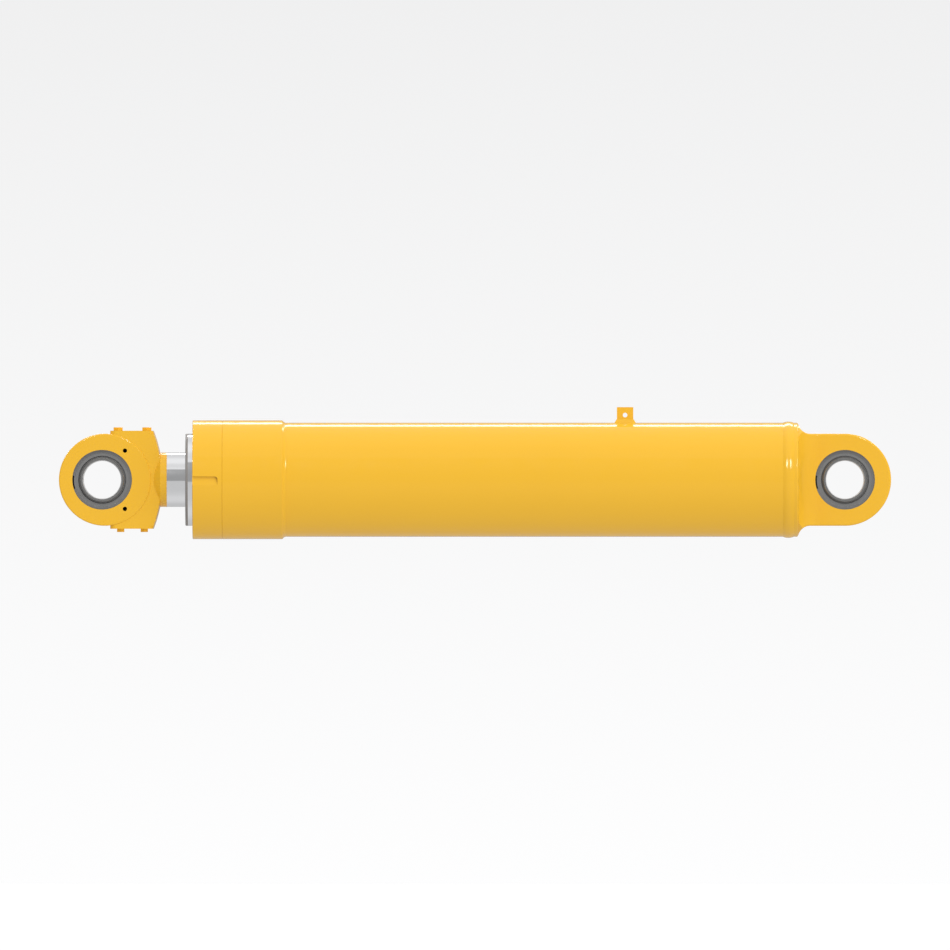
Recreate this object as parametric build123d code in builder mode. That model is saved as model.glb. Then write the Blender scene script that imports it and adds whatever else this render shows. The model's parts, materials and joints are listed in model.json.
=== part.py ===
from build123d import *
from math import acos, cos, radians, sin, sqrt, tan
import os

# Two-stage telescopic hydraulic cylinder with a spherical bearing in each eye.
# Millimetres. +X runs from the rod eye to the base eye along the cylinder axis,
# +Y lies along the pins, +Z is up. Origin: centre of the base eye's bearing.
# Shown fully closed. Both stages slide towards -X.

os.makedirs("parts", exist_ok=True)

# ---------------------------------------------------------------- dimensions
PIN_TO_PIN = 2500.0  # closed length between the bearing centres
STROKE = 1600.0  # travel of each stage

# spherical bearing, the same in both eyes
PIN_R = 63.5
BALL_R = 91.0
INNER_HALF_W = 67.0
BALL_HALF_W = 53.9  # the ball runs out into its cylindrical shoulders here
OUTER_R = 100.0
OUTER_HALF_W = 47.5
OUTER_CORNER = 5.0
SEAT_CLEAR = 0.05  # running clearance of the ball in its seat
LIP_R = 80.3
SEAL_POCKET_R = 88.0
SEAL_IN = 39.5
SEAL_OUT = 45.5
CIRCLIP_W = 5.0
CIRCLIP_R_IN = 92.0
CIRCLIP_R_OUT = 104.0
CIRCLIP_GAP_DEG = 26.0
CIRCLIP_GAP_AT = 185.0  # direction of the gap, degrees from +X towards +Z
EYE_R = 155.0
EYE_HALF_W = 65.0
EYE_ROUND = 5.0

# barrel
TUBE_R = 192.0
BORE_R = 170.0
TUBE_X0 = -1955.0
TUBE_X1 = -187.0
COLLAR_R = 200.0
COLLAR_X0 = -2095.6
COLLAR_X1 = -1881.1
COLLAR_FILLET = 11.9
GLAND_THREAD_R = 180.0
HEAD_X0 = -2196.0
HEAD_SPIGOT_X = -1956.0
FLANGE_R = 192.0
FLANGE_ROUND = 4.5
FLANGE_X1 = -157.9
PLUG_X0 = -235.0
WELD_X0 = -209.0
WELD_X1 = -171.5
WELD_R = 195.9

# first stage
STAGE_R = 155.0
STAGE_BORE_R = 131.0
STAGE_X0 = -2220.0
STAGE_X1 = -240.0
STAGE_PISTON_X0 = -355.0
STAGE_GLAND_X0 = -2216.0
STAGE_GLAND_X1 = -2011.0

# rod
ROD_R = 91.5
ROD_BORE_R = 55.0
ROD_X0 = -2282.5
ROD_X1 = -240.0
ROD_PISTON_X0 = -410.0
ROD_PISTON_X1 = -290.0
FEED_R = 38.0
FEED_BORE_R = 30.0

# rod eye
ROD_EYE_X = -PIN_TO_PIN
BOSS_X = -2490.5
BLOCK_HALF_W = 62.0
PAD_X = -2398.5
PAD_HALF_L = 74.4
PAD_CORNER = 20.0
PAD_Z = 165.0
BLOCK_Z = 155.5  # the pads stand 9.5 mm proud of the block
BLOCK_EDGE = 2.5
BACK_SPHERE_X = -2753.8
BACK_SPHERE_R = 458.0
NECK_X0 = -2304.4
BIG_PORT_R = 25.4
SMALL_PORT_R = 19.05
BIG_BOLTS = (96.8, 44.5)  # M20
SMALL_BOLTS = (79.4, 36.5)  # M16
FACE_HOLE_X = -2423.3
FACE_HOLE_Z = 98.0
FACE_HOLE_R = 7.0

RUN = 0.05  # radial running fit of seals and guides
FREE = 0.4  # radial clearance of faces that don't guide


def save(name, part):
    part.label = name
    export_step(part, "parts/" + name + ".step")


def turned(points, mode=Mode.ADD):
    """Turn a closed (x, radius) outline about the cylinder axis."""
    with BuildSketch(Plane.XZ) as outline:
        with BuildLine():
            Polyline(*points, close=True)
        make_face()
    revolve(outline.sketch, axis=Axis.X, mode=mode)


def sleeve(x0, x1, r0, r1, mode=Mode.ADD):
    """A plain ring about the cylinder axis."""
    turned([(x0, r0), (x0, r1), (x1, r1), (x1, r0)], mode)


def sleeve_soft(x0, x1, r0, r1, c):
    """A ring with its four corners broken by c."""
    turned(
        [
            (x0, r0 + c), (x0, r1 - c), (x0 + c, r1), (x1 - c, r1),
            (x1, r1 - c), (x1, r0 + c), (x1 - c, r0), (x0 + c, r0),
        ]
    )


def pin_plane(x):
    """Plane through a pin axis: local x is the radius, local y runs along the pin."""
    return Plane(origin=(x, 0, 0), x_dir=(1, 0, 0), z_dir=(0, 0, 1))


def pin_axis(x):
    return Axis((x, 0, 0), (0, 1, 0))


def pin_ring(x, points, mode=Mode.ADD):
    """Turn a closed (radius, y) outline about the pin axis at x."""
    with BuildSketch(pin_plane(x)) as outline:
        with BuildLine():
            Polyline(*points, close=True)
        make_face()
    revolve(outline.sketch, axis=pin_axis(x), mode=mode)


def outer_race(x):
    """Outer race: cylindrical outside, spherical seat, a seal pocket near each face."""
    seat = BALL_R + SEAT_CLEAR
    a = SEAL_IN
    r = sqrt(seat**2 - a**2)
    with BuildSketch(pin_plane(x)) as outline:
        with BuildLine():
            ThreePointArc((r, -a), (seat, 0), (r, a))
            Polyline(
                (r, a),
                (SEAL_POCKET_R, a),
                (SEAL_POCKET_R, SEAL_OUT),
                (LIP_R, SEAL_OUT),
                (LIP_R, OUTER_HALF_W),
                (OUTER_R - OUTER_CORNER, OUTER_HALF_W),
                (OUTER_R, OUTER_HALF_W - OUTER_CORNER),
                (OUTER_R, OUTER_CORNER - OUTER_HALF_W),
                (OUTER_R - OUTER_CORNER, -OUTER_HALF_W),
                (LIP_R, -OUTER_HALF_W),
                (LIP_R, -SEAL_OUT),
                (SEAL_POCKET_R, -SEAL_OUT),
                (SEAL_POCKET_R, -a),
                (r, -a),
            )
        make_face()
    revolve(outline.sketch, axis=pin_axis(x))


def race_seals(x):
    """Two lip seals that ride just off the ball."""
    for s in (1, -1):
        pin_ring(
            x,
            [
                (82.3, s * (SEAL_IN + 0.1)),
                (SEAL_POCKET_R, s * (SEAL_IN + 0.1)),
                (SEAL_POCKET_R, s * (SEAL_OUT - 0.1)),
                (LIP_R, s * (SEAL_OUT - 0.1)),
            ],
        )


def circlips(x):
    """Two internal retaining rings, open over the gap."""
    for s in (1, -1):
        y0, y1 = OUTER_HALF_W, OUTER_HALF_W + CIRCLIP_W
        pin_ring(
            x,
            [(CIRCLIP_R_IN, s * y0), (CIRCLIP_R_OUT, s * y0), (CIRCLIP_R_OUT, s * y1), (CIRCLIP_R_IN, s * y1)],
        )
    a0 = radians(CIRCLIP_GAP_AT - CIRCLIP_GAP_DEG / 2)
    a1 = radians(CIRCLIP_GAP_AT + CIRCLIP_GAP_DEG / 2)
    with BuildSketch(Plane.XZ.offset(-80)) as gap:
        with BuildLine():
            Polyline(
                (x, 0),
                (x + 130 * cos(a0), 130 * sin(a0)),
                (x + 130 * cos(a1), 130 * sin(a1)),
                close=True,
            )
        make_face()
    extrude(gap.sketch, amount=160, mode=Mode.SUBTRACT)


def inner_race(x):
    """Ball with a bore and two cylindrical shoulders."""
    shoulder = sqrt(BALL_R**2 - BALL_HALF_W**2)
    with BuildSketch(pin_plane(x)) as outline:
        with BuildLine():
            ThreePointArc((shoulder, -BALL_HALF_W), (BALL_R, 0), (shoulder, BALL_HALF_W))
            Polyline(
                (shoulder, BALL_HALF_W),
                (shoulder, INNER_HALF_W - 1.0),
                (shoulder - 1.0, INNER_HALF_W),
                (PIN_R + 2.0, INNER_HALF_W),
                (PIN_R, INNER_HALF_W - 2.0),
                (PIN_R, 2.0 - INNER_HALF_W),
                (PIN_R + 2.0, -INNER_HALF_W),
                (shoulder - 1.0, -INNER_HALF_W),
                (shoulder, 1.0 - INNER_HALF_W),
                (shoulder, -BALL_HALF_W),
            )
        make_face()
    revolve(outline.sketch, axis=pin_axis(x))


def eye_bore(x):
    """Bearing seat through an eye, with the grooves for the retaining rings."""
    pin_ring(x, [(0, -80), (OUTER_R, -80), (OUTER_R, 80), (0, 80)], Mode.SUBTRACT)
    for s in (1, -1):
        y0, y1 = OUTER_HALF_W, OUTER_HALF_W + CIRCLIP_W
        pin_ring(
            x,
            [(90, s * y0), (CIRCLIP_R_OUT, s * y0), (CIRCLIP_R_OUT, s * y1), (90, s * y1)],
            Mode.SUBTRACT,
        )


# ------------------------------------------------------------------- barrel
with BuildPart() as barrel_tube:
    turned(
        [
            (TUBE_X0, BORE_R), (TUBE_X0, TUBE_R), (TUBE_X1 - 10, TUBE_R),
            (TUBE_X1, TUBE_R - 14), (TUBE_X1, BORE_R),
        ]
    )
save("barrel_tube", barrel_tube.part)

with BuildPart() as head_collar:
    # the collar ends in a bevel that runs out on the tube in a hollow fillet
    with BuildSketch(Plane.XZ):
        with BuildLine():
            run = COLLAR_FILLET * sin(radians(45))
            rise = COLLAR_FILLET * (1 - cos(radians(45)))
            a, b = COLLAR_X1 - run, TUBE_R + rise
            ThreePointArc(
                (COLLAR_X1, TUBE_R),
                (
                    COLLAR_X1 - COLLAR_FILLET * sin(radians(22.5)),
                    TUBE_R + COLLAR_FILLET * (1 - cos(radians(22.5))),
                ),
                (a, b),
            )
            Polyline(
                (a, b), (a - (COLLAR_R - b), COLLAR_R), (COLLAR_X0 + 0.9, COLLAR_R),
                (COLLAR_X0, COLLAR_R - 0.9), (COLLAR_X0, GLAND_THREAD_R), (TUBE_X0, GLAND_THREAD_R),
                (TUBE_X0, TUBE_R), (COLLAR_X1, TUBE_R),
            )
        make_face()
    revolve(axis=Axis.X)
save("head_collar", head_collar.part)

WIPER = (-2194.0, -2180.0, 166.0)
SEAL = (-2160.0, -2142.0, 167.0)
BUSH = (-2120.0, -1990.0, 161.0)
O_RING = (-1984.0, -1976.0, 174.5)
POCKET_LEN = 85.0
POCKET_TOP = 11.3
POCKET_LOW = -18.0
POCKET_DEEP = 6.2
POCKET_ROUND = 5.0
POCKET_CORNER = 10.0
HEAD_ROUND = 3.0

def spanner_pocket():
    """Cutter for a pocket in the end face: a square driving wall and a floor that runs out."""
    wall = sqrt(COLLAR_R**2 - POCKET_TOP**2) - POCKET_DEEP
    low = sqrt(COLLAR_R**2 - POCKET_LOW**2)
    # unit vector of the floor, from the wall's foot to where it runs out
    run = sqrt((low - wall) ** 2 + (POCKET_TOP - POCKET_LOW) ** 2)
    fy, fz = (low - wall) / run, -(POCKET_TOP - POCKET_LOW) / run
    # the foot is rounded by POCKET_ROUND, tangent to wall and floor
    half = acos(fy) / 2
    back = POCKET_ROUND / tan(half)
    centre = (wall + back, POCKET_TOP - POCKET_ROUND)
    mid = (centre[0] - POCKET_ROUND * cos(half), centre[1] + POCKET_ROUND * sin(half))
    with BuildPart() as cutter:
        with BuildSketch(Plane.YZ.offset(HEAD_X0 - 5)):
            with BuildLine():
                ThreePointArc(
                    (-(wall + back), POCKET_TOP),
                    (-mid[0], mid[1]),
                    (-(wall + back * fy), POCKET_TOP + back * fz),
                )
                Polyline(
                    (-(wall + back * fy), POCKET_TOP + back * fz),
                    (-low, POCKET_LOW),
                    (-COLLAR_R - 8, POCKET_LOW),
                    (-COLLAR_R - 8, POCKET_TOP),
                    (-(wall + back), POCKET_TOP),
                )
            make_face()
        extrude(amount=POCKET_LEN + 5)
        # round the inner corner as seen from the side
        with BuildSketch(Plane.XZ.offset(COLLAR_R - 60)):
            with BuildLine():
                x1, c = HEAD_X0 + POCKET_LEN, POCKET_CORNER
                m = c * (1 - cos(radians(45)))
                ThreePointArc((x1 - c, POCKET_TOP), (x1 - m, POCKET_TOP - m), (x1, POCKET_TOP - c))
                Polyline(
                    (x1, POCKET_TOP - c), (x1, POCKET_LOW - 5), (HEAD_X0 - 9, POCKET_LOW - 5),
                    (HEAD_X0 - 9, POCKET_TOP), (x1 - c, POCKET_TOP),
                )
            make_face()
        extrude(amount=100, mode=Mode.INTERSECT)
    return cutter.part


with BuildPart() as head_ring:
    with BuildSketch(Plane.XZ):
        with BuildLine():
            c, m = HEAD_ROUND, HEAD_ROUND * (1 - cos(radians(45)))
            ThreePointArc(
                (HEAD_X0, COLLAR_R - c), (HEAD_X0 + m, COLLAR_R - m), (HEAD_X0 + c, COLLAR_R)
            )
            Polyline(
                (HEAD_X0 + c, COLLAR_R), (COLLAR_X0 - 0.9, COLLAR_R), (COLLAR_X0, COLLAR_R - 0.9),
                (COLLAR_X0, GLAND_THREAD_R), (HEAD_SPIGOT_X, GLAND_THREAD_R),
                (HEAD_SPIGOT_X, STAGE_R + FREE), (HEAD_X0, STAGE_R + FREE), (HEAD_X0, COLLAR_R - c),
            )
        make_face()
    revolve(axis=Axis.X)
    # grooves for the wiper, the seal, the guide bush and the outside O-ring
    sleeve(HEAD_X0 + 2, WIPER[1], STAGE_R, WIPER[2], Mode.SUBTRACT)
    sleeve(SEAL[0], SEAL[1], STAGE_R, SEAL[2], Mode.SUBTRACT)
    sleeve(BUSH[0], BUSH[1], STAGE_R, BUSH[2], Mode.SUBTRACT)
    sleeve(O_RING[0], O_RING[1], O_RING[2], GLAND_THREAD_R + 1, Mode.SUBTRACT)
    # two spanner pockets, opposite each other
    for turn in (0, 180):
        add(spanner_pocket().rotate(Axis.X, turn), mode=Mode.SUBTRACT)
save("head_ring", head_ring.part)

with BuildPart() as gland_wiper:
    turned(
        [
            (WIPER[0], STAGE_R + RUN), (WIPER[0], STAGE_R + 3), (WIPER[0] + 3, WIPER[2]),
            (WIPER[1], WIPER[2]), (WIPER[1], STAGE_R + 2), (WIPER[0] + 4, STAGE_R + 2),
        ]
    )
save("gland_wiper", gland_wiper.part)

with BuildPart() as gland_seal:
    sleeve_soft(SEAL[0], SEAL[1], STAGE_R + RUN, SEAL[2], 1.0)
save("gland_seal", gland_seal.part)

with BuildPart() as gland_guide_bush:
    sleeve_soft(BUSH[0], BUSH[1], STAGE_R + RUN, BUSH[2], 0.8)
save("gland_guide_bush", gland_guide_bush.part)

with BuildPart() as gland_o_ring:
    sleeve_soft(O_RING[0], O_RING[1], O_RING[2], GLAND_THREAD_R, 1.5)
save("gland_o_ring", gland_o_ring.part)

LUG_BLEND = 74.2  # the lug's flat sides run out into the flange
LUG_BLEND_TOP = 40.5
LUG_ROUND = 7.0
with BuildPart() as base_eye:
    # plan outline, wide at the flange
    with BuildSketch(Plane.XY.offset(-200)):
        with BuildLine():
            for s in (1, -1):
                Line((-160, s * (EYE_HALF_W + LUG_BLEND)), (FLANGE_X1, s * (EYE_HALF_W + LUG_BLEND)))
                RadiusArc(
                    (FLANGE_X1, s * (EYE_HALF_W + LUG_BLEND)),
                    (FLANGE_X1 + LUG_BLEND, s * EYE_HALF_W),
                    -s * LUG_BLEND,
                )
                Line((FLANGE_X1 + LUG_BLEND, s * EYE_HALF_W), (170, s * EYE_HALF_W))
            Line((-160, EYE_HALF_W + LUG_BLEND), (-160, -EYE_HALF_W - LUG_BLEND))
            Line((170, EYE_HALF_W), (170, -EYE_HALF_W))
        make_face()
    extrude(amount=400)
    # side outline: straight lug with a round end
    with BuildSketch(Plane.XZ.offset(-200)):
        with BuildLine():
            for s in (1, -1):
                Line((-160, s * (EYE_R + LUG_BLEND_TOP)), (FLANGE_X1, s * (EYE_R + LUG_BLEND_TOP)))
                RadiusArc(
                    (FLANGE_X1, s * (EYE_R + LUG_BLEND_TOP)),
                    (FLANGE_X1 + LUG_BLEND_TOP, s * EYE_R),
                    -s * LUG_BLEND_TOP,
                )
                Line((FLANGE_X1 + LUG_BLEND_TOP, s * EYE_R), (0, s * EYE_R))
            Line((-160, EYE_R + LUG_BLEND_TOP), (-160, -EYE_R - LUG_BLEND_TOP))
            ThreePointArc((0, EYE_R), (EYE_R, 0), (0, -EYE_R))
        make_face()
    extrude(amount=400, mode=Mode.INTERSECT)
    rim = [
        e
        for e in base_eye.edges()
        if e.center().X > -150
        and abs(abs(e.center().Y) - EYE_HALF_W) < 40
        and abs(e.center().Z) < EYE_R + 20
        and not (abs(e.bounding_box().max.X - e.bounding_box().min.X) < 0.01)
    ]
    fillet(rim, radius=LUG_ROUND)
    turned([(-165, 0), (-165, FLANGE_R - 5), (200, FLANGE_R - 5), (200, 0)], Mode.INTERSECT)
    # flange with its weld bevel, and the plug that centres it in the tube
    turned(
        [
            (PLUG_X0, 0), (PLUG_X0, BORE_R - 3), (PLUG_X0 + 3, BORE_R), (TUBE_X1, BORE_R),
            (TUBE_X1, TUBE_R - 14), (TUBE_X1 + 10, FLANGE_R), (FLANGE_X1, FLANGE_R),
            (FLANGE_X1, 0),
        ]
    )
    fillet(
        [
            e
            for e in base_eye.edges().filter_by(GeomType.CIRCLE)
            if abs(e.center().X - FLANGE_X1) < 0.01 and abs(e.radius - FLANGE_R) < 0.01
        ],
        radius=FLANGE_ROUND,
    )
    eye_bore(0)
save("base_eye", base_eye.part)

with BuildPart() as base_weld:
    with BuildSketch(Plane.XZ):
        with BuildLine():
            ThreePointArc((WELD_X0, TUBE_R), (-189.0, WELD_R), (WELD_X1, FLANGE_R))
            Polyline(
                (WELD_X1, FLANGE_R), (TUBE_X1 + 10, FLANGE_R), (TUBE_X1, TUBE_R - 14),
                (TUBE_X1 - 10, TUBE_R), (WELD_X0, TUBE_R),
            )
        make_face()
    revolve(axis=Axis.X)
save("base_weld", base_weld.part)

TAB_X = -740.0
TAB_W = 55.0
TAB_T = 12.0
TAB_TOP = 244.5
TAB_HOLE_Z = 217.8
TAB_HOLE_R = 7.75
with BuildPart() as line_bracket:
    with BuildSketch(Plane.XZ.offset(-TAB_T / 2)):
        with Locations((TAB_X, (TAB_TOP + 180) / 2)):
            Rectangle(TAB_W, TAB_TOP - 180)
        with Locations((TAB_X, TAB_HOLE_Z)):
            Circle(TAB_HOLE_R, mode=Mode.SUBTRACT)
    extrude(amount=TAB_T)
    fillet(line_bracket.edges().filter_by(Axis.Y).group_by(Axis.Z)[-1], radius=2)
    sleeve(TAB_X - 50, TAB_X + 50, 0, TUBE_R, Mode.SUBTRACT)
save("line_bracket", line_bracket.part)

with BuildPart() as bracket_weld:
    with BuildSketch(Plane.XY.offset(188)):
        with Locations((TAB_X, 0)):
            RectangleRounded(TAB_W + 22, TAB_T + 24, 8)
    with BuildSketch(Plane.XY.offset(204)):
        with Locations((TAB_X, 0)):
            RectangleRounded(TAB_W + 2, TAB_T + 2, 0.9)
    loft()
    with BuildSketch(Plane.XZ.offset(-TAB_T / 2)):
        with Locations((TAB_X, 200)):
            Rectangle(TAB_W, 60)
    extrude(amount=TAB_T, mode=Mode.SUBTRACT)
    sleeve(TAB_X - 60, TAB_X + 60, 0, TUBE_R, Mode.SUBTRACT)
save("bracket_weld", bracket_weld.part)

with BuildPart() as base_outer_race:
    outer_race(0)
save("base_bearing_outer_ring", base_outer_race.part)

with BuildPart() as base_seals:
    race_seals(0)
save("base_bearing_seals", base_seals.part)

with BuildPart() as base_circlips:
    circlips(0)
save("base_retaining_rings", base_circlips.part)

with BuildPart() as base_inner_race:
    inner_race(0)
save("base_bearing_inner_ring", base_inner_race.part)

# -------------------------------------------------------------- first stage
PISTON_SEAT_R = 148.0
with BuildPart() as stage_sleeve:
    turned(
        [
            (STAGE_X0, STAGE_BORE_R + 2), (STAGE_X0, STAGE_R - 1.2), (STAGE_X0 + 3.0, STAGE_R),
            (STAGE_PISTON_X0, STAGE_R), (STAGE_PISTON_X0, PISTON_SEAT_R),
            (STAGE_X1, PISTON_SEAT_R), (STAGE_X1, STAGE_BORE_R), (STAGE_X0 + 2, STAGE_BORE_R),
        ]
    )
save("stage_sleeve", stage_sleeve.part)

S_SEAL = (-308.0, -290.0, 162.0)
S_WEAR = ((-345.0, -325.0), (-275.0, -255.0))
S_WEAR_R = 166.0
with BuildPart() as stage_piston:
    turned(
        [
            (STAGE_PISTON_X0, PISTON_SEAT_R), (STAGE_PISTON_X0, BORE_R - FREE - 2),
            (STAGE_PISTON_X0 + 2, BORE_R - FREE), (STAGE_X1 - 4, BORE_R - FREE),
            (STAGE_X1, BORE_R - FREE - 4), (STAGE_X1, PISTON_SEAT_R),
        ]
    )
    sleeve(S_SEAL[0], S_SEAL[1], S_SEAL[2], BORE_R + 5, Mode.SUBTRACT)
    for x0, x1 in S_WEAR:
        sleeve(x0, x1, S_WEAR_R, BORE_R + 5, Mode.SUBTRACT)
save("stage_piston", stage_piston.part)

with BuildPart() as stage_piston_seal:
    sleeve_soft(S_SEAL[0], S_SEAL[1], S_SEAL[2], BORE_R - RUN, 1.0)
save("stage_piston_seal", stage_piston_seal.part)

with BuildPart() as stage_wear_rings:
    for x0, x1 in S_WEAR:
        sleeve_soft(x0, x1, S_WEAR_R, BORE_R - RUN, 0.6)
save("stage_wear_rings", stage_wear_rings.part)

G_WIPER = (-2214.0, -2200.0, 102.0)
G_SEAL = (-2180.0, -2162.0, 103.0)
G_BUSH = (-2140.0, -2040.0, 97.0)
G_O_RING = (-2034.0, -2026.0, 126.0)
with BuildPart() as stage_gland:
    sleeve(STAGE_GLAND_X0, STAGE_GLAND_X1, ROD_R + FREE, STAGE_BORE_R)
    sleeve(STAGE_GLAND_X0 + 2, G_WIPER[1], ROD_R, G_WIPER[2], Mode.SUBTRACT)
    sleeve(G_SEAL[0], G_SEAL[1], ROD_R, G_SEAL[2], Mode.SUBTRACT)
    sleeve(G_BUSH[0], G_BUSH[1], ROD_R, G_BUSH[2], Mode.SUBTRACT)
    sleeve(G_O_RING[0], G_O_RING[1], G_O_RING[2], STAGE_BORE_R + 1, Mode.SUBTRACT)
    # four spanner holes in the end face
    with BuildSketch(Plane.YZ.offset(STAGE_GLAND_X0)):
        with PolarLocations(117, 4, start_angle=45):
            Circle(6)
    extrude(amount=14, mode=Mode.SUBTRACT)
save("stage_gland", stage_gland.part)

with BuildPart() as stage_gland_wiper:
    turned(
        [
            (G_WIPER[0], ROD_R + RUN), (G_WIPER[0], ROD_R + 3), (G_WIPER[0] + 3, G_WIPER[2]),
            (G_WIPER[1], G_WIPER[2]), (G_WIPER[1], ROD_R + 2), (G_WIPER[0] + 4, ROD_R + 2),
        ]
    )
save("stage_gland_wiper", stage_gland_wiper.part)

with BuildPart() as stage_gland_seal:
    sleeve_soft(G_SEAL[0], G_SEAL[1], ROD_R + RUN, G_SEAL[2], 1.0)
save("stage_gland_seal", stage_gland_seal.part)

with BuildPart() as stage_gland_bush:
    sleeve_soft(G_BUSH[0], G_BUSH[1], ROD_R + RUN, G_BUSH[2], 0.6)
save("stage_gland_bush", stage_gland_bush.part)

with BuildPart() as stage_gland_o_ring:
    sleeve_soft(G_O_RING[0], G_O_RING[1], G_O_RING[2], STAGE_BORE_R, 1.2)
save("stage_gland_o_ring", stage_gland_o_ring.part)

# ---------------------------------------------------------------------- rod
ROD_SEAT_R = 80.0
with BuildPart() as rod_tube:
    turned(
        [
            (ROD_X0, ROD_BORE_R), (ROD_X0, ROD_R), (ROD_PISTON_X0, ROD_R),
            (ROD_PISTON_X0, ROD_SEAT_R), (ROD_X1 - 2, ROD_SEAT_R), (ROD_X1, ROD_SEAT_R - 2),
            (ROD_X1, ROD_BORE_R),
        ]
    )
    # four oil holes from the hollow rod to the space above the piston
    with BuildSketch(Plane.XY):
        with Locations((ROD_PISTON_X0 - 30, 0)):
            Circle(7)
    extrude(amount=120, both=True, mode=Mode.SUBTRACT)
    with BuildSketch(Plane.XZ):
        with Locations((ROD_PISTON_X0 - 30, 0)):
            Circle(7)
    extrude(amount=120, both=True, mode=Mode.SUBTRACT)
save("rod_tube", rod_tube.part)

with BuildPart() as feed_tube:
    sleeve(-2352, ROD_X1, FEED_BORE_R, FEED_R)
    sleeve(-275, ROD_X1, FEED_BORE_R, ROD_BORE_R)
save("feed_tube", feed_tube.part)

R_SEAL = (-358.0, -342.0, 122.0)
R_WEAR = ((-400.0, -382.0), (-318.0, -300.0))
R_WEAR_R = 127.0
with BuildPart() as rod_piston:
    sleeve_soft(ROD_PISTON_X0, ROD_PISTON_X1, ROD_SEAT_R, STAGE_BORE_R - FREE, 1.5)
    sleeve(R_SEAL[0], R_SEAL[1], R_SEAL[2], STAGE_BORE_R + 5, Mode.SUBTRACT)
    for x0, x1 in R_WEAR:
        sleeve(x0, x1, R_WEAR_R, STAGE_BORE_R + 5, Mode.SUBTRACT)
save("rod_piston", rod_piston.part)

with BuildPart() as rod_piston_seal:
    sleeve_soft(R_SEAL[0], R_SEAL[1], R_SEAL[2], STAGE_BORE_R - RUN, 1.0)
save("rod_piston_seal", rod_piston_seal.part)

with BuildPart() as rod_wear_rings:
    for x0, x1 in R_WEAR:
        sleeve_soft(x0, x1, R_WEAR_R, STAGE_BORE_R - RUN, 0.6)
save("rod_wear_rings", rod_wear_rings.part)

with BuildPart() as piston_nut:
    with BuildSketch(Plane.YZ.offset(ROD_PISTON_X1)):
        RegularPolygon(104, 6, major_radius=False)
        Circle(ROD_SEAT_R, mode=Mode.SUBTRACT)
    extrude(amount=45)
    turned([(-300, 0), (-300, 117), (-230, 117), (-230, 0)], Mode.INTERSECT)
save("piston_nut", piston_nut.part)

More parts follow.
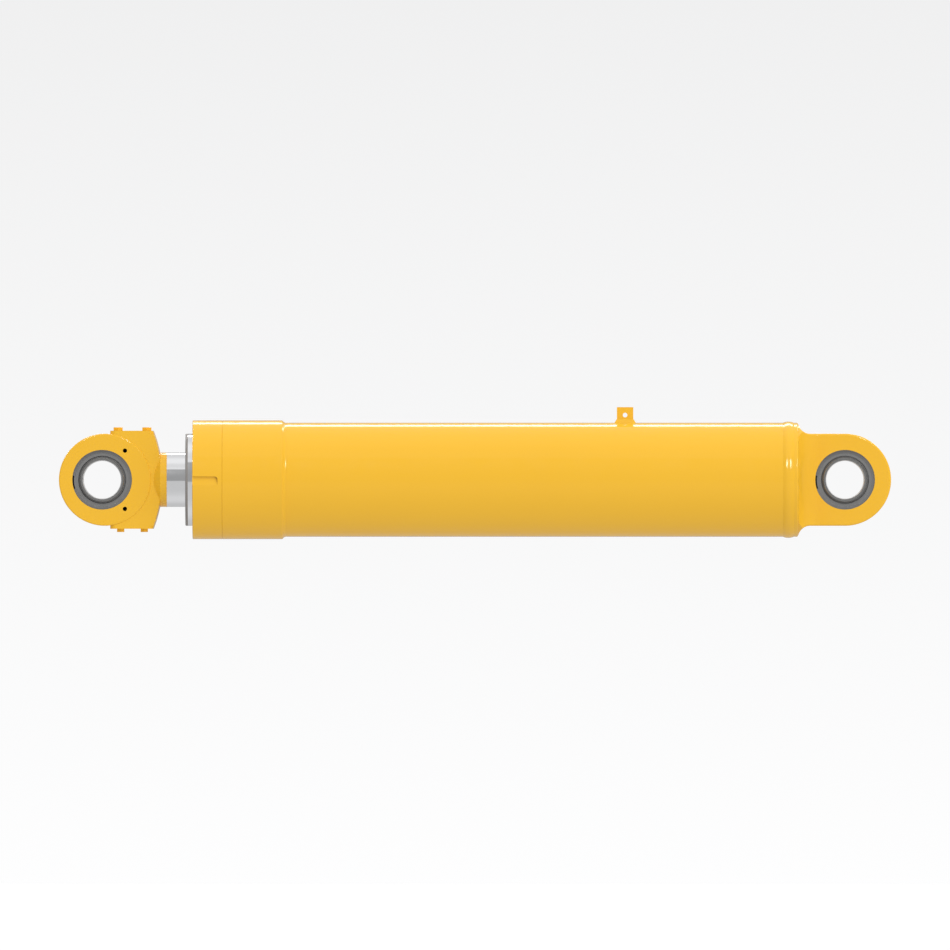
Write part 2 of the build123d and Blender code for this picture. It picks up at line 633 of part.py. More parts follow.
with BuildPart() as rod_eye:
    # block with a domed back, cut to a flat slab
    with BuildSketch(Plane.XZ):
        with BuildLine():
            x_at = lambda r: BACK_SPHERE_X + sqrt(BACK_SPHERE_R**2 - r**2)
            Line((-2425, 0), (-2425, 180))
            Line((-2425, 180), (x_at(180), 180))
            ThreePointArc((x_at(180), 180), (x_at(80), 80), (x_at(0), 0))
            Line((x_at(0), 0), (-2425, 0))
        make_face()
    revolve(axis=Axis.X)
    with BuildSketch(Plane.XZ.offset(-BLOCK_HALF_W)):
        with Locations((-2400, 0)):
            Rectangle(400, 2 * BLOCK_Z)
    extrude(amount=2 * BLOCK_HALF_W, mode=Mode.INTERSECT)
    # port pads, oblong with rounded corners seen from above
    with BuildSketch(Plane.XY.offset(-PAD_Z)):
        with Locations((PAD_X, 0)):
            RectangleRounded(2 * PAD_HALF_L, 2 * BLOCK_HALF_W, PAD_CORNER)
    extrude(amount=2 * PAD_Z)
    # keep the pads behind the domed back
    with BuildSketch(Plane.XZ):
        with BuildLine():
            ThreePointArc((x_at(200), 200), (x_at(100), 100), (x_at(0), 0))
            Polyline((x_at(0), 0), (-2700, 0), (-2700, 200), (x_at(200), 200))
        make_face()
    revolve(axis=Axis.X, mode=Mode.INTERSECT)
    fillet(
        [
            e
            for e in rod_eye.edges()
            if abs(abs(e.center().Y) - BLOCK_HALF_W) < 0.01 and e.center().X > -2335
        ],
        radius=BLOCK_EDGE,
    )
    # raised round eye
    with BuildSketch(pin_plane(BOSS_X)):
        with BuildLine():
            c, m = EYE_ROUND, EYE_ROUND * (1 - cos(radians(45)))
            Polyline((0, EYE_HALF_W), (0, -EYE_HALF_W), (EYE_R - c, -EYE_HALF_W))
            ThreePointArc((EYE_R - c, -EYE_HALF_W), (EYE_R - m, m - EYE_HALF_W), (EYE_R, c - EYE_HALF_W))
            Line((EYE_R, c - EYE_HALF_W), (EYE_R, EYE_HALF_W - c))
            ThreePointArc((EYE_R, EYE_HALF_W - c), (EYE_R - m, EYE_HALF_W - m), (EYE_R - c, EYE_HALF_W))
            Line((EYE_R - c, EYE_HALF_W), (0, EYE_HALF_W))
        make_face()
    revolve(axis=pin_axis(BOSS_X))
    # neck that meets the rod, with a cone behind it
    turned(
        [
            (-2345, 0), (-2345, 45), (-2326, 63), (NECK_X0, 91.5), (ROD_X0 - 0.6, 91.5),
            (ROD_X0, 90.9), (ROD_X0, 0),
        ]
    )
    # spigot that centres the rod
    sleeve(ROD_X0, ROD_X0 + 25, 0, ROD_BORE_R)
    eye_bore(ROD_EYE_X)
    # oil ways on the axis: ring passage, feed tube seat, centre chamber
    sleeve(-2335, ROD_X0 + 30, 0, 46, Mode.SUBTRACT)
    sleeve(-2352, -2330, 0, FEED_R, Mode.SUBTRACT)
    sleeve(-2372, -2350, 0, FEED_BORE_R, Mode.SUBTRACT)
    # upper port and its drilling to the centre chamber
    with BuildSketch(Plane.XY.offset(95)):
        with Locations((PAD_X, 0)):
            Circle(BIG_PORT_R)
    extrude(amount=100, mode=Mode.SUBTRACT)
    upper = Plane(origin=(PAD_X, 0, 105), x_dir=(0, 1, 0), z_dir=(35, 0, -90))
    with BuildSketch(upper):
        Circle(15)
    extrude(amount=97, mode=Mode.SUBTRACT)
    # lower port and its drilling to the ring passage
    with BuildSketch(Plane.XY.offset(-195)):
        with Locations((PAD_X, 0)):
            Circle(SMALL_PORT_R)
    extrude(amount=100, mode=Mode.SUBTRACT)
    lower = Plane(origin=(PAD_X, 0, -103), x_dir=(0, 1, 0), z_dir=(77, 0, 63))
    with BuildSketch(lower):
        Circle(10)
    extrude(amount=97, mode=Mode.SUBTRACT)
    # tapped holes for the port bolts
    with BuildSketch(Plane.XY.offset(PAD_Z - 48)):
        with Locations((PAD_X, 0)):
            with GridLocations(*BIG_BOLTS, 2, 2):
                Circle(10)
    extrude(amount=60, mode=Mode.SUBTRACT)
    with BuildSketch(Plane.XY.offset(-PAD_Z - 20)):
        with Locations((PAD_X, 0)):
            with GridLocations(*SMALL_BOLTS, 2, 2):
                Circle(8)
    extrude(amount=58, mode=Mode.SUBTRACT)
    # two blind tapped holes in the front face of the eye
    with BuildSketch(Plane.XZ.offset(EYE_HALF_W - 30)):
        with Locations((FACE_HOLE_X, FACE_HOLE_Z), (FACE_HOLE_X, -FACE_HOLE_Z)):
            Circle(FACE_HOLE_R)
    extrude(amount=60, mode=Mode.SUBTRACT)
save("rod_eye", rod_eye.part)


def hex_bolts(pitch, z_face, up, shank_r, shank_l, flats, head_h):
    """Four hexagon-head bolts, heads on z_face, pointing into the eye."""
    for ix in (-1, 1):
        for iy in (-1, 1):
            x = PAD_X + ix * pitch[0] / 2
            y = iy * pitch[1] / 2
            with BuildSketch(Plane((x, y, z_face), z_dir=(0, 0, up))) as head:
                RegularPolygon(flats / 2, 6, major_radius=False, rotation=30)
            extrude(head.sketch, amount=head_h)
            with BuildSketch(Plane((x, y, z_face), z_dir=(0, 0, -up))) as shank:
                Circle(shank_r)
            extrude(shank.sketch, amount=shank_l)
            # rounded-off corners on the head
            cone = Plane((x, y, 0), x_dir=(1, 0, 0), z_dir=(0, -1, 0))
            tip = flats / 2 * 1.1547
            with BuildSketch(cone) as trim:
                with BuildLine():
                    Polyline(
                        (flats / 2 * 0.96, z_face + up * head_h),
                        (tip + 2, z_face + up * head_h),
                        (tip + 2, z_face + up * (head_h - (tip + 2 - flats / 2 * 0.96) * 0.5)),
                        close=True,
                    )
                make_face()
            revolve(trim.sketch, axis=Axis((x, y, 0), (0, 0, 1)), mode=Mode.SUBTRACT)


with BuildPart() as large_port_bolts:
    hex_bolts(BIG_BOLTS, PAD_Z, 1, 10, 45, 30, 11.5)
save("large_port_bolts", large_port_bolts.part)

with BuildPart() as small_port_bolts:
    hex_bolts(SMALL_BOLTS, -PAD_Z, -1, 8, 35, 24, 11)
save("small_port_bolts", small_port_bolts.part)

with BuildPart() as rod_outer_race:
    outer_race(ROD_EYE_X)
save("rod_bearing_outer_ring", rod_outer_race.part)

with BuildPart() as rod_race_seals:
    race_seals(ROD_EYE_X)
save("rod_bearing_seals", rod_race_seals.part)

with BuildPart() as rod_circlips:
    circlips(ROD_EYE_X)
save("rod_retaining_rings", rod_circlips.part)

with BuildPart() as rod_inner_race:
    inner_race(ROD_EYE_X)
save("rod_bearing_inner_ring", rod_inner_race.part)
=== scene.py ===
import json
import math

import bpy
import numpy as np
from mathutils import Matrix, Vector


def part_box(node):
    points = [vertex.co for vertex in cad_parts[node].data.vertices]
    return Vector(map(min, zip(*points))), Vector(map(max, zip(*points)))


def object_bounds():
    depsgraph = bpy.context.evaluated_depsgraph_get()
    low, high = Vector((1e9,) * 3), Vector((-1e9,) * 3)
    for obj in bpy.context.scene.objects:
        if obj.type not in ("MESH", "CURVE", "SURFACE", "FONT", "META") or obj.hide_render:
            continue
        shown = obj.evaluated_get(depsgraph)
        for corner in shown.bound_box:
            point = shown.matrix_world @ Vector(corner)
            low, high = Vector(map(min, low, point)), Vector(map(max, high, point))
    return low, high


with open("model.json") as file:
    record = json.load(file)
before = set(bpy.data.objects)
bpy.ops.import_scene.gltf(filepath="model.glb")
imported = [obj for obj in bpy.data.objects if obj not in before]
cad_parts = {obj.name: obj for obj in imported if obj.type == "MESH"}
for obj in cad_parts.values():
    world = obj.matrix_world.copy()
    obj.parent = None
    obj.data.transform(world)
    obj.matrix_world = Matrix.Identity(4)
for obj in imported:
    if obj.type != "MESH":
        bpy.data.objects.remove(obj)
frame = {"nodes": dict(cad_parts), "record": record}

cad_lo, cad_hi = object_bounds()
nodes = frame["nodes"]
mounts = {m["name"]: Vector(m["pos_m"]) for m in frame["record"]["mounts"]}
BASE_PIN = mounts["base_pin_bore"]
ROD_PIN = mounts["rod_pin_bore"]
FACE_HOLES = mounts["eye_face_holes"]


# ------------------------------------------------------------ node helpers
class Mat:
    """One procedural material: a Principled shader with small helpers for its inputs."""

    def __init__(self, name, colour, metallic=0.0, roughness=0.4):
        self.m = bpy.data.materials.new(name)
        self.m.use_nodes = True
        self.t = self.m.node_tree
        self.p = next(n for n in self.t.nodes if n.type == "BSDF_PRINCIPLED")
        self.p.inputs["Base Color"].default_value = (*colour, 1)
        self.p.inputs["Metallic"].default_value = metallic
        self.p.inputs["Roughness"].default_value = roughness
        self.m.diffuse_color = (*colour, 1)
        self._co = None

    def node(self, kind, **settings):
        n = self.t.nodes.new(kind)
        for k, v in settings.items():
            if k in n.inputs:
                n.inputs[k].default_value = v
            else:
                setattr(n, k, v)
        return n

    def link(self, a, b):
        self.t.links.new(a, b)

    @property
    def co(self):
        """Coordinates of the row frame, in metres."""
        if self._co is None:
            self._co = self.node("ShaderNodeTexCoord").outputs["Object"]
        return self._co

    def math(self, op, a, b=None, c=None, clamp=False):
        n = self.node("ShaderNodeMath", operation=op, use_clamp=clamp)
        for i, v in enumerate((a, b, c)):
            if v is None:
                continue
            if isinstance(v, (int, float)):
                n.inputs[i].default_value = v
            else:
                self.link(v, n.inputs[i])
        return n.outputs[0]

    def scaled(self, s, at=(0, 0, 0)):
        n = self.node("ShaderNodeMapping")
        n.inputs["Scale"].default_value = s
        n.inputs["Location"].default_value = at
        self.link(self.co, n.inputs["Vector"])
        return n.outputs[0]

    def noise(self, scale, detail=3.0, rough=0.5, vector=None, distortion=0.0):
        n = self.node("ShaderNodeTexNoise")
        n.inputs["Scale"].default_value = scale
        n.inputs["Detail"].default_value = detail
        n.inputs["Roughness"].default_value = rough
        n.inputs["Distortion"].default_value = distortion
        self.link(vector or self.co, n.inputs["Vector"])
        return n.outputs["Fac"]

    def span(self, value, a, b, lo, hi, smooth=False):
        n = self.node("ShaderNodeMapRange", interpolation_type="SMOOTHSTEP" if smooth else "LINEAR")
        for k, v in (("From Min", a), ("From Max", b), ("To Min", lo), ("To Max", hi)):
            n.inputs[k].default_value = v
        self.link(value, n.inputs["Value"])
        return n.outputs[0]

    def mix(self, fac, a, b, blend="MIX"):
        n = self.node("ShaderNodeMix", data_type="RGBA", blend_type=blend)
        for i, v in ((0, fac), (6, a), (7, b)):
            if isinstance(v, (int, float)):
                n.inputs[i].default_value = v
            elif isinstance(v, tuple):
                n.inputs[i].default_value = (*v, 1)
            else:
                self.link(v, n.inputs[i])
        return n.outputs[2]

    def colour(self, socket):
        self.link(socket, self.p.inputs["Base Color"])

    def rough(self, socket):
        self.link(socket, self.p.inputs["Roughness"])

    def bump(self, height, distance, strength=1.0, normal=None):
        n = self.node("ShaderNodeBump")
        n.inputs["Distance"].default_value = distance
        n.inputs["Strength"].default_value = strength
        self.link(height, n.inputs["Height"])
        if normal is not None:
            self.link(normal, n.inputs["Normal"])
        return n.outputs[0]

    def normal(self, socket):
        self.link(socket, self.p.inputs["Normal"])

    def crevice(self, reach):
        """1 in the open, falling towards 0 in seams and corners."""
        n = self.node("ShaderNodeAmbientOcclusion", samples=8)
        n.inputs["Distance"].default_value = reach
        return n.outputs["AO"]

    def pin_radius(self, centre):
        """Distance from the pin axis through centre."""
        sep = self.node("ShaderNodeSeparateXYZ")
        self.link(self.co, sep.inputs[0])
        dx = self.math("SUBTRACT", sep.outputs[0], centre.x)
        dz = self.math("SUBTRACT", sep.outputs[2], centre.z)
        return self.math("SQRT", self.math("ADD", self.math("MULTIPLY", dx, dx), self.math("MULTIPLY", dz, dz)))

    def axis_radius(self):
        """Distance from the cylinder axis."""
        sep = self.node("ShaderNodeSeparateXYZ")
        self.link(self.co, sep.inputs[0])
        y, z = sep.outputs[1], sep.outputs[2]
        return self.math("SQRT", self.math("ADD", self.math("MULTIPLY", y, y), self.math("MULTIPLY", z, z)))


YELLOW = (0.895, 0.500, 0.032)


def paint(name, peel=0.00002, cast=0.0, tint=(1.0, 1.0, 1.0), rough=0.11, holes=(), reach=0.006, seam_shade=0.22, packed=0.1, clear=0.6, bore=None):
    """Gloss machine enamel: faint orange peel, slight tone drift, and painted shade darkening it in seams and corners.
    """
    base = tuple(c * t for c, t in zip(YELLOW, tint))
    deep = (base[0] * 0.955, base[1] * 0.93, base[2] * 0.85)
    m = Mat(name, base, 0.0, rough)
    m.p.inputs["IOR"].default_value = 1.4
    drift = m.span(m.noise(2.3, 2.0), 0.3, 0.7, 0.0, 1.0)
    col = m.mix(m.math("MULTIPLY", drift, 0.25), base, deep)
    grain = m.span(m.noise(140.0, 4.0, 0.6), 0.35, 0.7, 0.0, 0.14)
    col = m.mix(grain, col, deep)
    # painted shade: the colour turns a darker brown where ambient occlusion finds seams, corners and recesses
    seam = m.span(m.crevice(reach), packed, clear, seam_shade, 0.0, smooth=True)
    col = m.mix(seam, col, (base[0] * 0.5, base[1] * 0.42, base[2] * 0.6))
    shaded_holes = None
    for x, y, z, r in holes:
        # tapped holes are masked when the part is painted; their walls and a thin ring at their lips are painted
        # near-black, painted shade standing in for the dark inside of the holes
        sep = m.node("ShaderNodeSeparateXYZ")
        m.link(m.co, sep.inputs[0])
        dx = m.math("SUBTRACT", sep.outputs[0], x)
        dz = m.math("SUBTRACT", sep.outputs[2], z)
        d = m.math("SQRT", m.math("ADD", m.math("MULTIPLY", dx, dx), m.math("MULTIPLY", dz, dz)))
        inside = m.math("MULTIPLY", m.math("LESS_THAN", d, r), m.math("GREATER_THAN", sep.outputs[1], y))
        inside = m.math("MAXIMUM", inside, m.math("LESS_THAN", d, r - 0.0013))
        inside = m.math("MULTIPLY", inside, m.math("LESS_THAN", sep.outputs[1], 0.0))  # the back face has none
        shaded_holes = inside if shaded_holes is None else m.math("MAXIMUM", shaded_holes, inside)
        col = m.mix(inside, col, (0.004, 0.004, 0.004))
    if bore is not None:
        # the bearing seat is machined after painting and stays bare
        r = m.pin_radius(bore[0])
        sep = m.node("ShaderNodeSeparateXYZ")
        m.link(m.co, sep.inputs[0])
        groove = m.math("MULTIPLY", m.math("LESS_THAN", r, 0.1045), m.math("LESS_THAN", m.math("ABSOLUTE", sep.outputs[1]), 0.053))
        bare = m.math("MAXIMUM", m.math("LESS_THAN", r, bore[1]), groove)
        col = m.mix(bare, col, (0.13, 0.128, 0.125))
    m.colour(col)
    gloss = m.span(m.noise(26.0, 3.0), 0.3, 0.7, rough - 0.02, rough + 0.03)
    m.rough(gloss if shaded_holes is None else m.math("MAXIMUM", gloss, shaded_holes))
    n = m.bump(m.noise(240.0, 2.0, 0.45), peel, 1.0)
    if cast:
        lumps = m.noise(62.0, 5.0, 0.55, distortion=0.3)
        n = m.bump(lumps, cast, 1.0, n)
    m.normal(n)
    return m.m


def chrome(name, stretch=(420.0, 6.0, 6.0), bare_to=None):
    """Hard chrome: ground round the axis, then polished. Up to x = bare_to it is matt phosphated steel."""
    m = Mat(name, (0.90, 0.905, 0.915), 1.0, 0.06)
    lines = m.noise(1.0, 3.0, 0.6, vector=m.scaled(stretch))
    haze = m.noise(9.0, 3.0)
    shine = m.math("ADD", m.span(haze, 0.3, 0.7, 0.045, 0.085), m.span(lines, 0.3, 0.8, 0.0, 0.03))
    col = m.mix(m.span(haze, 0.35, 0.75, 0.0, 0.35), (0.905, 0.91, 0.92), (0.86, 0.87, 0.885))
    if bare_to is not None:
        sep = m.node("ShaderNodeSeparateXYZ")
        m.link(m.co, sep.inputs[0])
        bare = m.math("LESS_THAN", sep.outputs[0], bare_to)
        col = m.mix(bare, col, (0.29, 0.29, 0.294))
        shine = m.math("ADD", shine, m.math("MULTIPLY", bare, 0.4))
        m.link(m.math("SUBTRACT", 1.0, m.math("MULTIPLY", bare, 0.98)), m.p.inputs["Metallic"])
        m.link(m.math("SUBTRACT", 0.5, m.math("MULTIPLY", bare, 0.35)), m.p.inputs["Specular IOR Level"])
    m.rough(shine)
    m.colour(col)
    m.normal(m.bump(lines, 0.000006, 1.0))
    return m.m


def turned_steel(name, colour, rough, centre=None, metal=1.0, pitch=1400.0, depth=0.000012, stain=0.25, rim=None, ball=None):
    """Turned or ground steel. With centre the tool marks run round that pin, otherwise round the cylinder.

    Beyond the radius rim the steel is painted near-black, a painted shade for the deep gap behind the retaining ring;
    within ball of the mid-plane it is phosphated.
    """
    m = Mat(name, colour, metal, rough)
    r = m.pin_radius(centre) if centre is not None else m.axis_radius()
    n = m.node("ShaderNodeTexNoise", noise_dimensions="1D")
    n.inputs["Scale"].default_value = pitch
    n.inputs["Detail"].default_value = 3.0
    m.link(r, n.inputs["W"])
    marks = n.outputs["Fac"]
    cloud = m.noise(30.0, 4.0, 0.6)
    dark = tuple(c * 0.72 for c in colour)
    col = m.mix(m.math("MULTIPLY", m.span(cloud, 0.35, 0.75, 0.0, 1.0), stain), colour, dark)
    shine = m.math("ADD", m.span(marks, 0.3, 0.7, rough - 0.05, rough + 0.06), m.span(cloud, 0.3, 0.8, -0.02, 0.06))
    other = None
    dull = None
    if rim is not None:
        # painted shade: beyond rim the outer ring's chamfer is coloured near-black
        other, tone = m.math("GREATER_THAN", r, rim), (0.035, 0.035, 0.035)
    if ball is not None:
        sep = m.node("ShaderNodeSeparateXYZ")
        m.link(m.co, sep.inputs[0])
        other, tone = m.math("LESS_THAN", m.math("ABSOLUTE", sep.outputs[1]), ball), (0.215, 0.213, 0.21)
    if other is not None:
        col = m.mix(other, col, tone)
        dull = m.math("MULTIPLY", other, 0.9)
        shine = m.math("ADD", shine, m.math("MULTIPLY", other, 0.18))
    if ball is not None:
        # the edge of the bore is given a lighter, less metallic grey
        edge = m.math("LESS_THAN", r, 0.0656)
        col = m.mix(edge, col, (0.66, 0.655, 0.65))
        shine = m.math("ADD", shine, m.math("MULTIPLY", edge, 0.15))
        dull = m.math("MAXIMUM", dull, m.math("MULTIPLY", edge, 0.5))
    if dull is not None:
        m.link(m.math("MULTIPLY", m.math("SUBTRACT", 1.0, dull), metal), m.p.inputs["Metallic"])
    m.colour(col)
    m.rough(shine)
    m.normal(m.bump(marks, depth, 1.0))
    return m.m


def rubber(name, colour, rough=0.6, grain=420.0, depth=0.00004):
    m = Mat(name, colour, 0.0, rough)
    f = m.noise(grain, 3.0, 0.6)
    light = tuple(min(1.0, c * 1.6 + 0.01) for c in colour)
    m.colour(m.mix(m.span(f, 0.4, 0.75, 0.0, 0.6), colour, light))
    m.rough(m.span(m.noise(60.0, 2.0), 0.3, 0.7, rough - 0.08, rough + 0.1))
    m.normal(m.bump(f, depth, 1.0))
    return m.m


def bronze(name):
    m = Mat(name, (0.60, 0.39, 0.17), 1.0, 0.3)
    r = m.noise(1.0, 3.0, 0.6, vector=m.scaled((900.0, 5.0, 5.0)))
    m.colour(m.mix(m.span(m.noise(25.0, 4.0), 0.35, 0.75, 0.0, 0.7), (0.62, 0.41, 0.18), (0.42, 0.25, 0.10)))
    m.rough(m.span(r, 0.3, 0.7, 0.24, 0.38))
    m.normal(m.bump(r, 0.00001, 1.0))
    return m.m


OUTER_STEEL = (0.40, 0.397, 0.39)
M = {
    "paint": paint("enamel_yellow"),
    # the head ring gets strong painted shade in its pocket and seams
    "paint_head": paint("enamel_on_head", reach=0.014, seam_shade=0.95, packed=0.5, clear=1.0),
    "paint_cast": paint("enamel_on_forging", cast=0.00012, rough=0.14, bore=(BASE_PIN, 0.1003)),
    "paint_eye": paint(
        "enamel_on_rod_eye",
        cast=0.00012,
        rough=0.14,
        holes=[(FACE_HOLES.x, FACE_HOLES.y + 0.0004, s * 0.098, 0.0086) for s in (1, -1)],
        seam_shade=0.08,
        bore=(ROD_PIN, 0.1003),
    ),
    "paint_weld": paint("enamel_on_weld", peel=0.00003, cast=0.00006, rough=0.12),
    # the bolts carry the same enamel, tinted more orange: painted shade for their angled hex facets
    "paint_bolt": paint("enamel_on_bolts", tint=(1.0, 0.965, 0.88), rough=0.16),
    "chrome_stage": chrome("hard_chrome_stage", bare_to=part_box("stage_sleeve")[0].x + 0.0085),
    "chrome_rod": chrome("hard_chrome_rod"),
    "outer_base": turned_steel("bearing_outer_base", OUTER_STEEL, 0.27, BASE_PIN, rim=0.0951),
    "outer_rod": turned_steel("bearing_outer_rod", OUTER_STEEL, 0.27, ROD_PIN, rim=0.0951),
    "inner_base": turned_steel("bearing_inner_base", (0.38, 0.377, 0.37), 0.24, BASE_PIN, ball=0.0541),
    "inner_rod": turned_steel("bearing_inner_rod", (0.38, 0.377, 0.37), 0.24, ROD_PIN, ball=0.0541),
    "clip_base": turned_steel("spring_steel_base", (0.35, 0.345, 0.34), 0.3, BASE_PIN),
    "clip_rod": turned_steel("spring_steel_rod", (0.35, 0.345, 0.34), 0.3, ROD_PIN),
    "steel": turned_steel("turned_steel", (0.50, 0.50, 0.52), 0.32),
    "bronze": bronze("guide_bronze"),
    "wear": rubber("wear_ring_fabric", (0.10, 0.12, 0.07), 0.55, 900.0),
    "wiper": rubber("wiper_polyurethane", (0.03, 0.03, 0.04), 0.45),
    "seal": rubber("seal_polyurethane", (0.22, 0.05, 0.02), 0.4),
    "black": rubber("nitrile_rubber", (0.02, 0.02, 0.022), 0.6),
}

WEARS = {
    "barrel_tube": "paint", "head_collar": "paint", "head_ring": "paint_head", "line_bracket": "paint",
    "base_eye": "paint_cast", "rod_eye": "paint_eye",
    "base_weld": "paint_weld", "bracket_weld": "paint_weld",
    "large_port_bolts": "paint_bolt", "small_port_bolts": "paint_bolt",
    "stage_sleeve": "chrome_stage", "rod_tube": "chrome_rod",
    "base_bearing_outer_ring": "outer_base", "rod_bearing_outer_ring": "outer_rod",
    "base_bearing_inner_ring": "inner_base", "rod_bearing_inner_ring": "inner_rod",
    "base_retaining_rings": "clip_base", "rod_retaining_rings": "clip_rod",
    "base_bearing_seals": "black", "rod_bearing_seals": "black",
    "stage_piston": "steel", "stage_gland": "steel", "rod_piston": "steel", "piston_nut": "steel", "feed_tube": "steel",
    "gland_guide_bush": "bronze", "stage_gland_bush": "bronze",
    "stage_wear_rings": "wear", "rod_wear_rings": "wear",
    "gland_wiper": "wiper", "stage_gland_wiper": "wiper",
    "gland_seal": "seal", "stage_gland_seal": "seal", "stage_piston_seal": "seal", "rod_piston_seal": "seal",
    "gland_o_ring": "black", "stage_gland_o_ring": "black",
}
for name, o in nodes.items():
    o.data.materials.clear()
    o.data.materials.append(M[WEARS[name]])

# ------------------------------------------------------------------- stage
floor_mesh = bpy.data.meshes.new("floor")
S, FZ = 30.0, -1.75
floor_mesh.from_pydata([(-S, -S, FZ), (S, -S, FZ), (S, S, FZ), (-S, S, FZ)], [], [(0, 1, 2, 3)])
floor = bpy.data.objects.new("floor", floor_mesh)
bpy.context.scene.collection.objects.link(floor)
pale = Mat("pale_floor", (0.795, 0.795, 0.795), 0.0, 0.9)
pale.p.inputs["Specular IOR Level"].default_value = 0.1
pale.colour(pale.mix(pale.span(pale.noise(0.6, 2.0), 0.3, 0.7, 0.0, 1.0), (0.79, 0.79, 0.79), (0.80, 0.80, 0.80)))
floor_mesh.materials.append(pale.m)
floor.visible_glossy = False
floor.visible_diffuse = False
floor.visible_shadow = False

world = bpy.data.worlds.new("studio")
bpy.context.scene.world = world
world.use_nodes = True
wt = world.node_tree
wt.nodes.clear()


def wn(kind, **kw):
    n = wt.nodes.new(kind)
    for k, v in kw.items():
        setattr(n, k, v)
    return n


def wramp(stops, socket):
    n = wn("ShaderNodeValToRGB")
    r = n.color_ramp
    r.interpolation = "LINEAR"
    while len(r.elements) < len(stops):
        r.elements.new(0.5)
    for e, (p, v) in zip(r.elements, stops):
        e.position = p
        e.color = (v, v, v * 1.003, 1)
    wt.links.new(socket, n.inputs[0])
    return n.outputs[0]


def wmap(socket, a, b):
    n = wn("ShaderNodeMapRange")
    n.inputs["From Min"].default_value = a
    n.inputs["From Max"].default_value = b
    wt.links.new(socket, n.inputs["Value"])
    return n.outputs[0]


def wmix(fac, a, b):
    n = wn("ShaderNodeMix", data_type="RGBA")
    for i, v in ((0, fac), (6, a), (7, b)):
        if isinstance(v, tuple):
            n.inputs[i].default_value = (*v, 1)
        else:
            wt.links.new(v, n.inputs[i])
    return n.outputs[2]


tc = wn("ShaderNodeTexCoord")
sep = wn("ShaderNodeSeparateXYZ")
wt.links.new(tc.outputs["Generated"], sep.inputs[0])
up = wmap(sep.outputs[2], -1.0, 1.0)
# what gloss reflects: a light ceiling, a grey wall up to about 45 degrees, a paler floor
front = wramp(
    [
        (0.0, 0.71), (0.01, 0.70), (0.04, 0.65), (0.13, 0.60), (0.445, 0.59), (0.468, 0.345), (0.60, 0.345),
        (0.845, 0.375), (0.86, 0.80), (0.877, 0.83), (0.927, 0.76), (0.964, 0.78), (0.99, 0.90), (1.0, 0.91),
    ],
    up,
)
back = wramp(
    [
        (0.0, 0.71), (0.017, 0.67), (0.095, 0.58), (0.25, 0.56), (0.44, 0.46), (0.49, 0.34), (0.52, 0.50), (0.60, 0.40),
        (0.76, 0.62), (0.86, 0.74), (0.95, 0.74), (0.989, 0.83), (1.0, 0.91),
    ],
    up,
)
shine = wmix(wmap(sep.outputs[1], -0.05, 0.35), front, back)
# the studio is darker off to either side
aside = wn("ShaderNodeMath", operation="ABSOLUTE")
wt.links.new(sep.outputs[0], aside.inputs[0])
side_wall = wn("ShaderNodeMix", data_type="RGBA", blend_type="MULTIPLY")
side_wall.inputs[7].default_value = (0.7, 0.7, 0.7, 1)
wt.links.new(wmap(aside.outputs[0], 0.24, 0.46), side_wall.inputs[0])
wt.links.new(shine, side_wall.inputs[6])
shine = side_wall.outputs[2]
# what lights the paint: a bright sky over a dimmer ground
soft = wramp([(0.0, 0.66), (0.42, 0.66), (0.58, 1.05), (1.0, 1.05)], up)
# less of it comes from the rod-eye side
along = wn("ShaderNodeMapRange")
for k, v in (("From Min", -0.85), ("From Max", -0.15), ("To Min", 0.8), ("To Max", 1.045)):
    along.inputs[k].default_value = v
wt.links.new(sep.outputs[0], along.inputs["Value"])
narrowed = wn("ShaderNodeMix", data_type="RGBA", blend_type="MULTIPLY")
narrowed.inputs[0].default_value = 1.0
wt.links.new(soft, narrowed.inputs[6])
wt.links.new(along.outputs[0], narrowed.inputs[7])
soft = narrowed.outputs[2]
# what the camera sees behind the object
seen = wramp([(0.0, 1.0), (1.0, 0.871)], wmap(sep.outputs[2], -0.015, 0.015))
path = wn("ShaderNodeLightPath")
lit = wmix(path.outputs["Is Glossy Ray"], soft, shine)
final = wmix(path.outputs["Is Camera Ray"], lit, seen)
bg = wn("ShaderNodeBackground")
out = wn("ShaderNodeOutputWorld")
wt.links.new(final, bg.inputs[0])
wt.links.new(bg.outputs[0], out.inputs[0])


mid = Vector(((cad_lo.x + cad_hi.x) / 2, 0, 0))


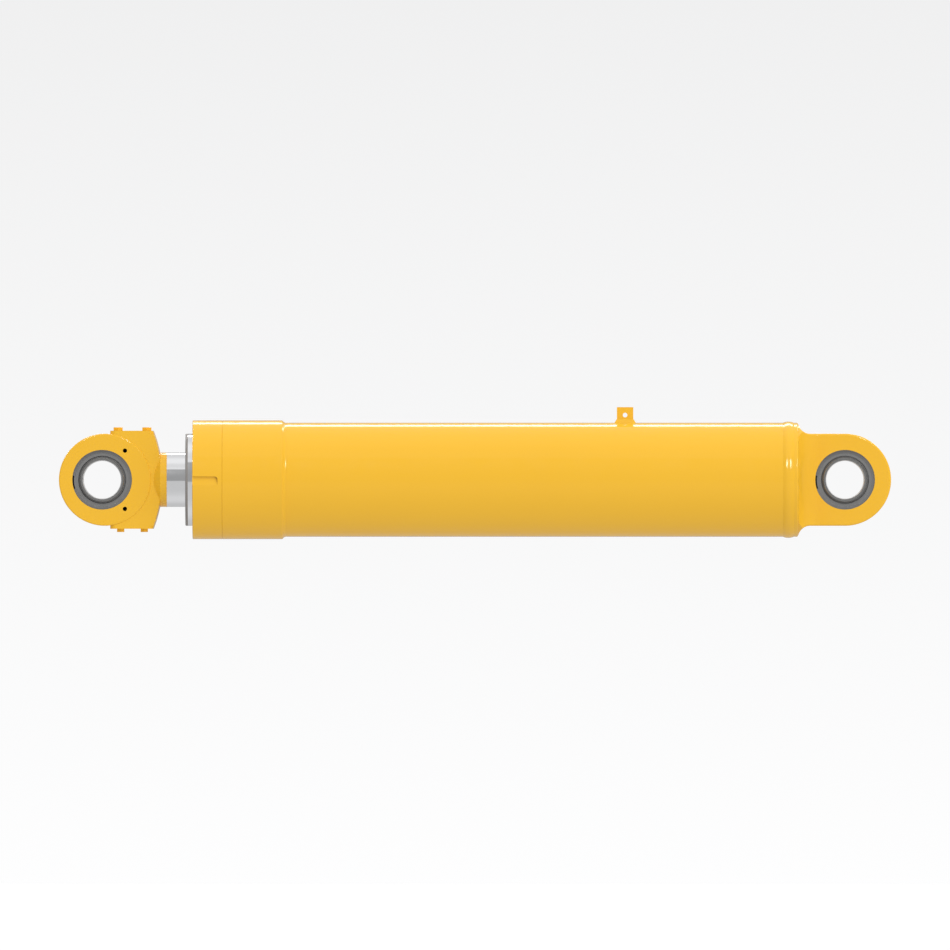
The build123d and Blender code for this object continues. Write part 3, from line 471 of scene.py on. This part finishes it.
def softbox(name, azimuth, elevation, wide, high, radiance, away=60.0):
    """A far light, seen in gloss only. Angles in degrees, azimuth from the camera side towards +X."""
    az, el = math.radians(azimuth), math.radians(elevation)
    d = Vector((math.sin(az) * math.cos(el), -math.cos(az) * math.cos(el), math.sin(el)))
    light = bpy.data.lights.new(name, "AREA")
    light.shape = "RECTANGLE"
    light.size = 2 * away * math.tan(math.radians(wide) / 2)
    light.size_y = 2 * away * math.tan(math.radians(high) / 2)
    light.energy = radiance * math.pi * light.size * light.size_y
    o = bpy.data.objects.new(name, light)
    o.location = mid + d * away
    o.rotation_euler = d.to_track_quat("Z", "Y").to_euler()
    bpy.context.scene.collection.objects.link(o)
    o.visible_camera = False
    o.visible_diffuse = False
    return o


softbox("ridge_light", 180, 37.0, 24, 8.0, 6.5)
softbox("left_top_box", -110.8, 34.0, 13, 20, 30.0)
for side in (-1, 1):
    softbox("front_box", 2.4 + side * 17.2, 32.0, 9, 14, 26.0)
    softbox("rear_box", side * 150, 31.0, 14, 12, 4.0)


def fill(name, x, y, z, strength, shadow=True):
    """A weak soft sun that only adds to the matt shading of faces turned towards it."""
    light = bpy.data.lights.new(name, "SUN")
    light.energy = strength * math.pi
    light.angle = math.radians(60)
    light.use_shadow = shadow
    o = bpy.data.objects.new(name, light)
    o.rotation_euler = Vector((x, y, z)).to_track_quat("Z", "Y").to_euler()
    bpy.context.scene.collection.objects.link(o)
    o.visible_glossy = False
    return o


fill("fill_below", 0, 0.7, -0.7, 0.08)
fill("fill_above", 0, 0.7, 0.7, 0.36)
fill("fill_right", 1, -0.85, 0.05, 0.17, shadow=False)
fill("fill_front", 0, -1, 0.05, 0.07, shadow=False)

# ------------------------------------------------------------------ camera
cam = bpy.data.cameras.new("camera")
cam.lens = 1200.0
cam.sensor_width = 36.0
MM_PER_PX = 3.367
width = 950 * MM_PER_PX / 1000
distance = width * cam.lens / cam.sensor_width
cam_o = bpy.data.objects.new("camera", cam)
bpy.context.scene.collection.objects.link(cam_o)
cam_o.location = (-1.2453, -distance, 0.0160)
cam_o.rotation_euler = (math.pi / 2, 0, 0)
cam.clip_start, cam.clip_end = 1.0, 400.0
bpy.context.scene.camera = cam_o
bpy.context.scene.view_settings.view_transform = "Standard"
